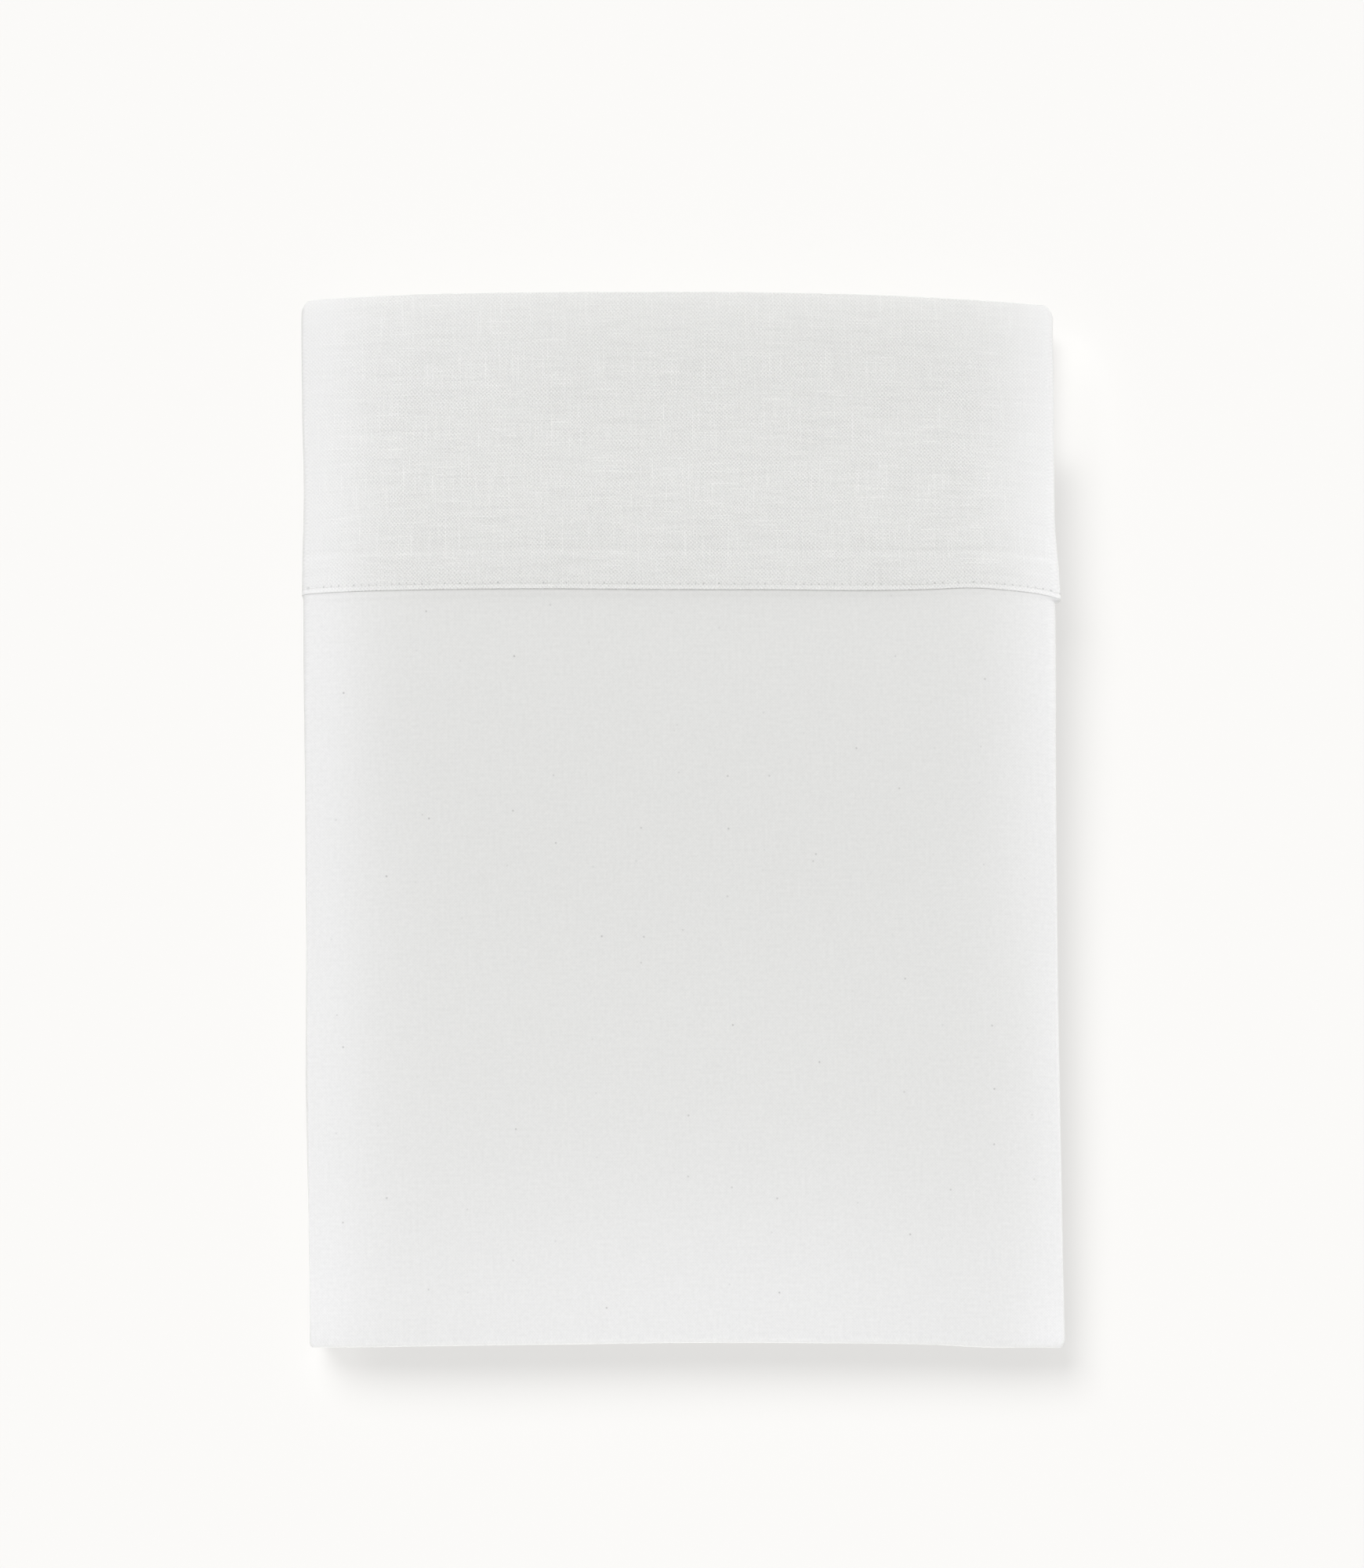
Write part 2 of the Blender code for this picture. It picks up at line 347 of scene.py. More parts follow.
ACROSS = stretches()
SHEET_WIDTH = ACROSS[-1].start + ACROSS[-1].length
FACE = ACROSS[2 * FACE_PLY]
STITCHES = round(FACE.length / STITCH)
STITCH_PITCH = FACE.length / STITCHES
STEPS_IN_STITCH = 4


def columns(face_steps, even_face):
    """(flat place, column) from the sheet's left edge to its right."""
    made = []
    for stretch in ACROSS:
        steps, even = stretch.steps, stretch.even
        if stretch is FACE:
            steps, even = face_steps, even_face
        shares = [i / steps for i in range(steps)]
        if not even:  # closer together near the folds
            shares = [0.5 - 0.5 * math.cos(math.pi * share) for share in shares]
        made += [(stretch.start + s * stretch.length, stretch.column(s)) for s in shares]
    return made + [(SHEET_WIDTH, ACROSS[-1].column(1.0))]


def column_at(flat):
    """The column at any flat distance from the sheet's left edge."""
    stretch = [s for s in ACROSS if s.start <= flat][-1]
    return stretch.column((flat - stretch.start) / stretch.length)


# ---------------- along: seven panels
# flat: from the cloth's first edge. lift: plies from the middle of the ply, towards the sheet's
# face. ply: the thickness of a ply here. spot(height) gives (y, z) for a height in plies.
Row = namedtuple("Row", "flat lift ply spot panel")

PANEL_STEPS = 12
FOLD_STEPS = 8
FOLD_LENGTH = TURN_LENGTH * FOLD_RADIUS
TOP_STEPS = 30
SEAM_ZONE = 0.009  # the stretch in front of the seam that has fine rows
SEAM_STEPS = 18
ENCLOSED_STEPS = 5  # on the body's end inside the cuff
HEM_STEPS = 2
HEM_TURN_STEPS = 4


def top_ply(y):
    """The thickness of one ply of the top panel, which thickens into the cuff."""
    if y < SEAM:
        return between(PLY, SEAM_PLY, smooth((y - SEAM + RAMP) / (RAMP - RAMP_END)))
    return between(SEAM_PLY, CUFF_PLY, smooth((y - SEAM - ALLOWANCE) / SETTLE))


def run_row(flat, y, panel, lift=0.0):
    """A row on the straight run of a panel. Every other panel lies face down."""
    ply = top_ply(y) if panel == TOP_PANEL else PLY
    base = panel * PITCH
    if panel % 2:
        return Row(flat, lift, ply, lambda height: (y, base + BAND - height * ply), panel)
    return Row(flat, lift, ply, lambda height: (y, base + height * ply), panel)


def fold_row(flat, turn, side, panel, share):
    """A row on the fold from a panel to the next one up."""
    middle = panel * PITCH + BAND / 2 + FOLD_RADIUS
    angle = math.pi * (share - 0.5)

    def spot(height):
        reach = (FOLD_RADIUS - side * (height - PLIES / 2) * PLY) * pressed_out(angle)
        return turn + side * reach * math.cos(angle), middle + reach * math.sin(angle)

    return Row(flat, 0.0, PLY, spot, panel + share)


def turn_at(fold):
    """The y at which a panel's straight run gives way to its fold."""
    return fold.side * (HALF_LENGTH - fold.short - FOLD_RADIUS - BAND / 2)


def body_rows():
    """The rows of the percale body, from the inner edge of its hem to its end in the cuff."""
    bottom, *folds = FOLD_ENDS
    y = bottom.side * (HALF_LENGTH - bottom.short)
    made = []
    for i in range(HEM_STEPS + 1):
        made.append(run_row(HEM * i / HEM_STEPS, y + HEM * (1 - i / HEM_STEPS), 0, -HEM_LAYER))
    radius = HEM_LAYER / 2
    for i in range(1, HEM_TURN_STEPS):
        angle = i * math.pi / HEM_TURN_STEPS
        lift, bulge = -radius * (1 + math.cos(angle)), radius * PLY * math.sin(angle)
        made.append(run_row(HEM + angle * radius * PLY, y - bulge, 0, lift))
    flat = HEM + math.pi * radius * PLY
    for panel, fold in enumerate(folds):
        turn = turn_at(fold)
        length = abs(turn - y)
        for share in (i / PANEL_STEPS for i in range(PANEL_STEPS)):
            made.append(run_row(flat + share * length, between(y, turn, share), panel))
        flat += length
        for share in (i / FOLD_STEPS for i in range(FOLD_STEPS)):
            made.append(fold_row(flat + FOLD_LENGTH * share, turn, fold.side, panel, share))
        flat += FOLD_LENGTH
        y = turn
    near = SEAM - SEAM_ZONE
    places = [between(y, near, i / TOP_STEPS) for i in range(TOP_STEPS)]
    places += [between(near, SEAM, i / SEAM_STEPS) for i in range(SEAM_STEPS)]
    places += [SEAM + ALLOWANCE * i / ENCLOSED_STEPS for i in range(ENCLOSED_STEPS + 1)]
    return made + [run_row(flat + there - y, there, TOP_PANEL) for there in places]


def cuff_layer(y):
    """How far a layer of the cuff lies from the middle of its ply, in plies."""
    return between(SEAM_LAYER, CUFF_LAYER, smooth((y - SEAM - ALLOWANCE) / SETTLE))


EDGE_BULGE = 1.2  # how much rounder the stitched edge is than a half circle
# The cuff's rows, close together at the stitches and over the end of the turned-in edges: how
# many there are in each stretch, how far apart, and how far behind the seam or that end it starts
STITCH_ROWS, STITCH_ROW = 13, 0.00025
EDGE_ROWS, EDGE_START = 3, 0.0036
STEP_ROWS, STEP_ROW, STEP_START = 10, 0.0005, -0.0015
PLAIN_STEPS, PLAIN_POWER, PLAIN_START = 20, 1.1, 0.0038
LOWER_SKIP = 3  # the lower layer has every third of these rows
TURNED_STEPS, TURNED_START, TURNED_LENGTH = 4, 0.0008, ALLOWANCE - 0.0012
TURNED_EDGE_STEPS, FREE_FOLD_STEPS = 5, 6


def cuff_path():
    """(y, lift) along the strip, from one turned-in edge round the free fold to the other."""
    back = HALF_LENGTH - CUFF_LAYER * CUFF_PLY
    crest = SEAM + ALLOWANCE
    shown = [SEAM + STITCH_ROW * i for i in range(STITCH_ROWS)]
    first, last = SEAM + EDGE_START, crest + STEP_START
    shown += [between(first, last, i / EDGE_ROWS) for i in range(EDGE_ROWS)]
    shown += [last + STEP_ROW * i for i in range(STEP_ROWS)]
    for i in range(PLAIN_STEPS + 1):
        shown.append(between(crest + PLAIN_START, back, (i / PLAIN_STEPS) ** PLAIN_POWER))
    first = SEAM + TURNED_START
    inner = [first + TURNED_LENGTH * i / TURNED_STEPS for i in range(TURNED_STEPS + 1)]
    middle, radius = (SEAM_LAYER + TURNED_LAYER) / 2, (SEAM_LAYER - TURNED_LAYER) / 2
    edge = []
    for i in range(1, TURNED_EDGE_STEPS):
        angle = math.pi * i / TURNED_EDGE_STEPS
        bulge = radius * SEAM_PLY * EDGE_BULGE * math.sin(angle)
        edge.append((SEAM - bulge, middle - radius * math.cos(angle)))
    turned = [(y, TURNED_LAYER) for y in reversed(inner)] + edge
    free_fold = []
    for i in range(1, FREE_FOLD_STEPS):
        angle = math.pi * i / FREE_FOLD_STEPS
        bulge = CUFF_LAYER * CUFF_PLY * math.sin(angle)
        free_fold.append((back + bulge, CUFF_LAYER * math.cos(angle)))
    upper = turned + [(y, cuff_layer(y)) for y in shown]
    lower = turned + [(y, cuff_layer(y)) for y in shown[::LOWER_SKIP] + [back]]
    return upper + free_fold + [(y, -lift) for y, lift in reversed(lower)]


def cuff_rows():
    """The rows of the linen strip, with the flat distance measured along its path."""
    rows, flat, last = [], 0.0, None
    for y, lift in cuff_path():
        here = Vector(run_row(0.0, y, TOP_PANEL, lift).spot(lift))
        flat += (here - last).length if last else 0.0
        last = here
        rows.append(run_row(flat, y, TOP_PANEL, lift))
    return rows


# ---------------- placing the sheet's points
SWELL = 0.006  # the share of its height by which the pile is uneven
SWELL_RUN = 0.09


def slip_of(place, x):
    """How far the ply at a place has slipped towards the front at the seam."""
    slip = SLIPS[place - 1]
    return between(slip.left, slip.right, 0.5 + 0.5 * max(min(x / HALF_WIDTH, 1.0), -1.0))


def slip_at(column, x):
    """The slip of a point of the sheet, which changes from ply to ply in the fold between them."""
    here = slip_of(PLY_PLACES[column.ply], x)
    if column.run:
        return here
    return between(here, slip_of(PLY_PLACES[column.ply + 1], x), smooth(column.share))


# Soft creases of the display face: where each runs from and to, its half width and its height
Crease = namedtuple("Crease", "x0 y0 x1 y1 half_width height")
CREASES = (
    Crease(-0.118, 0.030, -0.060, -0.045, 0.012, -0.00016),
    Crease(0.066, 0.060, 0.084, -0.090, 0.014, 0.00014),
    Crease(-0.020, -0.150, 0.052, -0.118, 0.013, -0.00014),
    Crease(0.090, -0.140, 0.118, -0.172, 0.009, 0.00016),
    Crease(-0.102, -0.128, -0.050, -0.160, 0.014, 0.00014),
    Crease(-0.090, 0.150, -0.020, 0.118, 0.012, 0.00012),
    Crease(0.030, 0.165, 0.100, 0.135, 0.012, -0.00012),
)
UNEVEN = 0.00008  # the height of the face's own small swells
UNEVEN_RUN = 0.032
SHOULDER = 0.00065  # how far the percale falls away from the thicker seam, mid-width
SHOULDER_RUN = 0.006
SHOULDER_REACH = 0.105  # where it has died out, to either side
SHOULDER_FADE = 0.045  # the width over which it dies out
SHOULDER_LENGTH = 0.09  # how far in front of the seam it has risen again
SECOND_LINE = 0.00010  # the step where the next ply's seam shows through the percale
SECOND_START = 0.0003  # how far behind that seam the step starts
SECOND_RUN = 0.0012
SECOND_LENGTH = 0.03  # how far in front of it the percale has risen again
ALLOWANCE_STEP = 0.00007  # the step at the end of the turned-in edges
STEP_BACK = 0.001  # how far behind that end it starts
STEP_RUN = 0.0022
ALLOWANCE_DIP = 0.00011  # the dip along the foot of that step
DIP_FROM_EDGE = 0.0136
DIP_WIDTH = 0.0016
DIP_RUN = 0.016  # the dip is deeper in some places than in others
GROOVE = 0.00008  # how deep the stitches pull the cuff's edge in
GROOVE_BETWEEN = 0.15  # the share of it midway between two needle holes
GROOVE_WIDTH = 0.00055
RIM = 0.00007  # how far the edge puffs up in front of the stitches
RIM_AT_HOLE = 0.5  # the share of it in front of a needle hole
RIM_FROM_EDGE = 0.0004
CREASE_END = 0.5  # how softly a crease dies out at its ends, as a share of its length
RELIEF_DEPTH = 5  # how many plies down the face's relief fades away


def crease_height(x, y, crease):
    """The height that one soft crease adds at a point."""
    start, end = Vector((crease.x0, crease.y0)), Vector((crease.x1, crease.y1))
    along, offset = end - start, Vector((x, y)) - start
    share = offset.dot(along) / along.length_squared
    off = (offset - share * along).length
    return crease.height * bell(off, crease.half_width) * bell(share - 0.5, CREASE_END)


def relief(x, y, stitch):
    """The height of the display face above its smooth crown. stitch: 1 at a needle hole."""
    height = sum(crease_height(x, y, crease) for crease in CREASES)
    height += UNEVEN * noise.noise(Vector((x / UNEVEN_RUN, y / UNEVEN_RUN, 4.0)))
    if y < SEAM:
        past = SEAM - y
        share = smooth((SHOULDER_REACH - abs(x)) / SHOULDER_FADE)
        share *= smooth(1 - past / SHOULDER_LENGTH)
        height -= SHOULDER * share * (1 - math.exp(-past / SHOULDER_RUN))
        past -= slip_of(2, x)
        second = SECOND_LINE * smooth((past + SECOND_START) / SECOND_RUN)
        return height - second * smooth(1 - past / SECOND_LENGTH)
    height += ALLOWANCE_STEP * smooth((SEAM + ALLOWANCE + STEP_BACK - y) / STEP_RUN)
    uneven = 1 + noise.noise(Vector((x / DIP_RUN, 0.0, 7.0)))
    height -= ALLOWANCE_DIP * uneven * bell(y - SEAM - DIP_FROM_EDGE, DIP_WIDTH)
    groove = GROOVE * between(GROOVE_BETWEEN, 1.0, stitch)
    height -= groove * bell(y - SEAM - STITCH_FROM_EDGE, GROOVE_WIDTH)
    rim = RIM * between(1.0, RIM_AT_HOLE, stitch)
    return height + rim * bell(y - SEAM - RIM_FROM_EDGE, GROOVE_WIDTH)


def needle_hole(flat):
    """1 at a needle hole of the topstitching, 0 midway between two."""
    return 0.5 + 0.5 * math.cos(2 * math.pi * (flat - FACE.start) / STITCH_PITCH)


EDGE_REACH = 0.001  # further in front of the seam than the cuff's edge bulges


def placed(flat, column, row):
    """Where the sheet's point at this column and row lies in the pile."""
    y, z = row.spot(column.height + row.lift * column.facing_up)
    half = HALF_WIDTH
    on_top = smooth(row.panel - TOP_PANEL + 1)
    if on_top == 1.0 and y > SEAM - EDGE_REACH:
        proud = PROUD_AT_SEAM["left" if column.side < 0 else "right"]
        half += between(proud, PROUD_AT_BACK, smooth((y - SEAM) / PROUD_RUN))
    x = column.side * half + column.shift + (column.plies + row.lift * column.facing_x) * row.ply
    shows = on_top * max(1 - (column.place - 1) / RELIEF_DEPTH, 0.0)
    raised = shows * relief(x, y, needle_hole(flat))
    if row.panel == TOP_PANEL:
        y -= slip_at(column, x) * smooth((y + HALF_LENGTH) / (SEAM + HALF_LENGTH))
    x, y, z = settled(*drifted(x, y, z))
    z *= 1 + SWELL * noise.noise(Vector((x / SWELL_RUN, y / SWELL_RUN, 1.5)))
    return Vector((x, y, z + raised))


# ---------------- making the cloths
BAKED_FACE = 0.76  # the share of the bake map's width that the display face takes
MARGIN = 0.01  # metres on the face, and the share of the map's width beside it


def is_shown(column, row):
    """Whether a point lies on the display face or on the halves of its folds next to it."""
    beside = column.ply == FACE_PLY - 1 and not column.run and column.share > 0.5
    beside = beside or (column.ply == FACE_PLY and (column.run or column.share < 0.5))
    return beside and row.panel > TOP_PANEL - 0.5 and row.lift >= 0


def baked_place(column, row, shown, point, length):
    """The place on the bake map: the display face is large, and the hidden plies share a strip."""
    if shown:
        across = 0.5 + point.x / (FOLD_WIDTH + MARGIN)
        return BAKED_FACE * across, 0.5 + point.y / (PILE_LENGTH + MARGIN)
    return between(BAKED_FACE + MARGIN, 1.0, column.share), between(0.0, 1.0, row.flat / length)


def folded_cloth(name, across, rows):
    """A grid of the cloth's columns and rows, folded into the pile, with its two flat maps."""
    bm = bmesh.new()
    last_column, last_row = len(across) - 1, len(rows) - 1
    bmesh.ops.create_grid(bm, x_segments=last_column, y_segments=last_row, size=0.5)
    weave = bm.loops.layers.uv.new("Weave")
    bake = bm.loops.layers.uv.new("OFBake")
    cell = {}
    for vertex in bm.verts:
        i = round((vertex.co.x + 0.5) * last_column)
        cell[vertex] = (i, round((vertex.co.y + 0.5) * last_row))
    for vertex, (i, j) in cell.items():
        vertex.co = placed(*across[i], rows[j])
    length = rows[-1].flat
    for face in bm.faces:
        face.smooth = True
        corners = []
        for loop in face.loops:
            i, j = cell[loop.vert]
            corners.append((loop, *across[i], rows[j]))
        shown = all(is_shown(column, row) for loop, flat, column, row in corners)
        for loop, flat, column, row in corners:
            loop[weave].uv = (flat, row.flat)
            loop[bake].uv = baked_place(column, row, shown, loop.vert.co, length)
    obj = finished_mesh(name, bm)
    shell = obj.modifiers.new("cloth thickness", "SOLIDIFY")
    shell.thickness = SKIN
    shell.offset = 0.0
    return obj, (SHEET_WIDTH, length)


def finished_mesh(name, bm):
    """An object made of a bmesh, in the scene."""
    mesh = bpy.data.meshes.new(name)
    bm.to_mesh(mesh)
    bm.free()
    obj = bpy.data.objects.new(name, mesh)
    bpy.context.scene.collection.objects.link(obj)
    return obj


# ---------------- the topstitching
THREAD_SIDES = 6
# Points along one stitch: the share of its length and its height above the linen, in thread radii
STITCH_SHARES = (0.10, 0.17, 0.30, 0.50, 0.70, 0.83, 0.90)
STITCH_RISES = (-1.6, 0.1, 0.6, 0.7, 0.6, 0.1, -1.6)


def stitch_spot(flat, rise):
    """A point over the outer linen layer along the stitch line, raised along its normal."""
    y = SEAM + STITCH_FROM_EDGE
    row = run_row(0.0, y, TOP_PANEL, cuff_layer(y))
    column = column_at(flat)
    point = placed(flat, column, row)
    length = math.hypot(column.facing_x, column.facing_up)
    return point + rise * Vector((column.facing_x / length, 0.0, column.facing_up / length))


def topstitching():
    """A row of short thread stitches along the cuff's edge, each dipping into its needle holes."""
    bm = bmesh.new()
    for i in range(-1, STITCHES + 1):
        start = FACE.start + i * STITCH_PITCH
        path = [
            stitch_spot(start + share * STITCH_PITCH, SKIN / 2 + rise * THREAD)
            for share, rise in zip(STITCH_SHARES, STITCH_RISES)
        ]
        rings = []
        for j, point in enumerate(path):
            along = (path[min(j + 1, len(path) - 1)] - path[max(j - 1, 0)]).normalized()
            turned = along.to_track_quat("Z", "Y").to_matrix()
            ring = bmesh.ops.create_circle(bm, segments=THREAD_SIDES, radius=THREAD)["verts"]
            for vertex in ring:
                vertex.co = point + turned @ vertex.co
            edges = {e for v in ring for e in v.link_edges}
            rings.append(list(edges))
        for here, there in zip(rings, rings[1:]):
            bmesh.ops.bridge_loops(bm, edges=here + there)
        bmesh.ops.holes_fill(bm, edges=rings[0] + rings[-1], sides=0)
    bmesh.ops.recalc_face_normals(bm, faces=bm.faces[:])
    for face in bm.faces:
        face.smooth = True
    return finished_mesh("topstitching", bm)


def centred(objects):
    """Moves the meshes sideways so that the middle of their common box is over the origin."""
    points = [vertex.co for obj in objects for vertex in obj.data.vertices]
    for axis in (0, 1):
        values = [point[axis] for point in points]
        middle = (min(values) + max(values)) / 2
        for point in points:
            point[axis] -= middle


# ---------------- materials
CLOTH_WHITE = "EDEDEB"
THREAD_WHITE = "F0F0EE"
WANDER_SCALE = 0.06  # swings of the straying yarns in one thread
PERCALE_THREAD = 0.0005  # real percale has 4 to 5 threads a millimetre; 2 is as fine as shows
PERCALE_WANDER = 0.8  # how far its yarns stray, in threads
PERCALE_CROSSING_SHADE = 0.018  # how much its crossings change its shade
PERCALE_BUMP = (0.06, 0.0001)  # strength and depth
LINEN_ACROSS = 0.00062  # from one thread to the next; the real linen's are 0.59 and 0.63 mm apart
LINEN_ALONG = 0.00066
LINEN_WANDER = 2.2
LINEN_BUMP = (1.0, 0.00022)

# The unevenness of the cloths. size: of a swing, in threads across and along. Between two levels
# of a noise the value goes from the first of values to the second, and it stays there outside.
Mottle = namedtuple("Mottle", "name size levels values")
PERCALE_MOTTLES = (
    Mottle("warp yarns", (1.3, 26), (0.25, 0.75), (-0.008, 0.008)),
    Mottle("weft yarns", (26, 1.3), (0.25, 0.75), (-0.008, 0.008)),
    Mottle("clouds", (2.4, 2.4), (0.25, 0.75), (-0.018, 0.018)),
)
LINEN_MOTTLES = (
    Mottle("warp yarns", (0.9, 18), (0.3, 0.7), (-0.014, 0.014)),
    Mottle("weft yarns", (18, 0.9), (0.3, 0.7), (-0.014, 0.014)),
    Mottle("thick warp yarns", (0.7, 30), (0.66, 0.76), (0.0, 0.07)),
    Mottle("thick weft yarns", (30, 0.7), (0.66, 0.76), (0.0, 0.07)),
    Mottle("grains", (0.8, 0.8), (0.25, 0.75), (-0.07, 0.07)),
    Mottle("bands", (36, 3.2), (0.54, 0.72), (0.0, -0.024)),
)
# How deep the crossings' painted light and shade is from place to place; their bump takes the same
# value
LINEN_CROSSING_SHADE_AND_RELIEF = Mottle("depth of the crossings", (22, 16), (0.35, 0.65), (0.065, 0.10))
# How dark the painted shade in the needle holes is from place to place; the same value sets how
# deep their bump dips
HOLE_SHADE_DEPTH = Mottle("depth of the needle holes", (4, 90), (0.35, 0.65), (0.07, 0.22))

FLECK_CELL = 30  # threads from one fleck to the next
FLECK_CORE = 0.3  # threads from a fleck's middle to where it starts to fade
FLECK_EDGE = 1.0
FLECK_SHADE = -0.35  # of the darkest
FLECK_RARITY = 5  # how much rarer the dark ones are than the faint ones

# How clearly the linen's weave shows: away from a side fold and on it, and on the free fold and
# away from it, with the distance over which it changes
SIDE_RUN, SIDE_CLEAR = 0.030, (1.03, 0.34)
FREE_RUN, FREE_CLEAR = 0.027, (0.6, 1.0)

# A needle hole's painted shade: a dark dot that stands in for the shade inside the hole
HOLE_ACROSS = 0.00031  # half the size of a needle hole
HOLE_ALONG = 0.00040
HOLE_FADE = (0.6, 1.3)  # the shares of that size between which it fades
# The rim's painted highlight: a lighter band along the rounded edge in front of the stitches
RIM_MIDDLE = 0.0014  # from the stitch line to the middle of the lighter rim
RIM_FADE = (0.0004, 0.0011)  # from there to where it starts and ends to fade
RIM_HIGHLIGHT = 0.03

TWIST_SCALE = 900.0  # a shade every 0.7 mm
TWIST_WANDER = 1.0
TWIST_SHADES = (0.97, 1.02)
THREAD_BUMP = (0.4, 0.00004)


def linear(code):
    """A linear colour from an sRGB hex value."""
    values = [int(code[i : i + 2], 16) / 255 for i in (0, 2, 4)]
    bright = [((value + 0.055) / 1.055) ** 2.4 for value in values]
    return tuple(v / 12.92 if v <= 0.04045 else b for v, b in zip(values, bright)) + (1.0,)


def add(tree, kind, inputs=(), output=0, **settings):
    """Adds a node with its settings and links, and returns one of its outputs. Each input is a
    value, or the output that it is linked to."""
    made = tree.nodes.new(kind)
    for name, value in settings.items():
        setattr(made, name, value)
    for name, value in dict(inputs).items():
        if isinstance(value, bpy.types.NodeSocket):
            tree.links.new(value, made.inputs[name])
        else:
            made.inputs[name].default_value = value
    return made.outputs[output]


def ranges(levels, values):
    """The inputs that turn the first level into the first value and the second into the second."""
    return dict(zip(("From Min", "From Max", "To Min", "To Max"), (*levels, *values)))


def cloth_material(name, roughness):
    """A new matt cloth material: its tree and its shader."""
    material = bpy.data.materials.new(name)
    material.use_nodes = True
    tree = material.node_tree
    shader = tree.nodes["Principled BSDF"]
    shader.inputs["Roughness"].default_value = roughness
    shader.inputs["Specular IOR Level"].default_value = 0.2
    return material, tree, shader


def thread_count(tree, across, along):
    """The cloth's flat place, counted in its threads across and along."""
    place = add(tree, "ShaderNodeUVMap", uv_map="Weave")
    size = (1 / across, 1 / along, 0.0)
    return add(tree, "ShaderNodeVectorMath", {0: place, 1: size}, operation="MULTIPLY")


def mottle(tree, threads, row):
    """The value of one row of unevenness, from place to place."""
    size = (1 / row.size[0], 1 / row.size[1], 0.0)
    spot = add(tree, "ShaderNodeVectorMath", {0: threads, 1: size}, operation="MULTIPLY")
    inputs = {"Vector": spot, "Scale": 1.0, "Detail": 1.0}
    swing = add(tree, "ShaderNodeTexNoise", inputs, noise_dimensions="2D")
    return add(tree, "ShaderNodeMapRange", {"Value": swing, **ranges(row.levels, row.values)})


def total(tree, first, *others):
    """The sum of all these values."""
    for other in others:
        first = add(tree, "ShaderNodeMath", {0: first, 1: other}, operation="ADD")
    return first


def crossings(tree, threads, wander):
    """A plain weave: 1 mid-crossing where a warp thread is on top, -1 where a weft thread is."""
    inputs = {"Vector": threads, "Scale": WANDER_SCALE}
    swing = add(tree, "ShaderNodeTexNoise", inputs, output="Color", noise_dimensions="2D")
    inputs = {0: swing, 1: (wander, wander, 0.0), 2: threads}
    moved = add(tree, "ShaderNodeVectorMath", inputs, operation="MULTIPLY_ADD")
    half_turns = {0: moved, 1: (math.pi, math.pi, 0.0)}
    turned = add(tree, "ShaderNodeVectorMath", half_turns, operation="MULTIPLY")
    waves = add(tree, "ShaderNodeVectorMath", {0: turned}, operation="SINE")
    across = add(tree, "ShaderNodeSeparateXYZ", {"Vector": waves}, output="X")
    along = across.node.outputs["Y"]
    return add(tree, "ShaderNodeMath", {0: across, 1: along}, operation="MULTIPLY")


def tinted(tree, colour, light, shader):
    """Gives the shader a colour that is this much lighter or darker from place to place."""
    base = linear(colour)[:3]
    shade = add(tree, "ShaderNodeVectorMath", {0: base, "Scale": light}, operation="SCALE")
    tree.links.new(shade, shader.inputs["Base Color"])


def embossed(tree, height, bump, shader):
    """Gives the shader a bump of this strength and depth."""
    strength, depth = bump
    inputs = {"Height": height, "Strength": strength, "Distance": depth}
    tree.links.new(add(tree, "ShaderNodeBump", inputs), shader.inputs["Normal"])


def percale():
    """Cotton percale, a close plain weave of fine combed yarn, pressed smooth. The eye gets an
    even, matt white, with hardly more than faint lines along the yarns and a rare dark fleck."""
    material, tree, shader = cloth_material("cotton percale", 0.9)
    threads = thread_count(tree, PERCALE_THREAD, PERCALE_THREAD)
    weave = crossings(tree, threads, PERCALE_WANDER)
    warp, weft, clouds = (mottle(tree, threads, row) for row in PERCALE_MOTTLES)
    inputs = {"Vector": threads, "Scale": 1 / FLECK_CELL}
    away = add(tree, "ShaderNodeTexVoronoi", inputs, voronoi_dimensions="2D")
    colour = away.node.outputs["Color"]
    chance = add(tree, "ShaderNodeSeparateXYZ", {"Vector": colour}, output="X")
    rare = add(tree, "ShaderNodeMath", {0: chance, 1: FLECK_RARITY}, operation="POWER")
    fade = ranges((FLECK_CORE / FLECK_CELL, FLECK_EDGE / FLECK_CELL), (FLECK_SHADE, 0.0))
    spot = add(tree, "ShaderNodeMapRange", {"Value": away, **fade})
    fleck = add(tree, "ShaderNodeMath", {0: spot, 1: rare}, operation="MULTIPLY")
    # The crossings as painted light and shade: the weave's relief lit from one side, put into the
    # colour
    painted_crossing_shade = add(tree, "ShaderNodeMath", {0: weave, 1: PERCALE_CROSSING_SHADE}, operation="MULTIPLY")
    tinted(tree, CLOTH_WHITE, total(tree, warp, 1.0, weft, clouds, painted_crossing_shade, fleck), shader)
    embossed(tree, total(tree, weave, warp, weft), PERCALE_BUMP, shader)
    return material


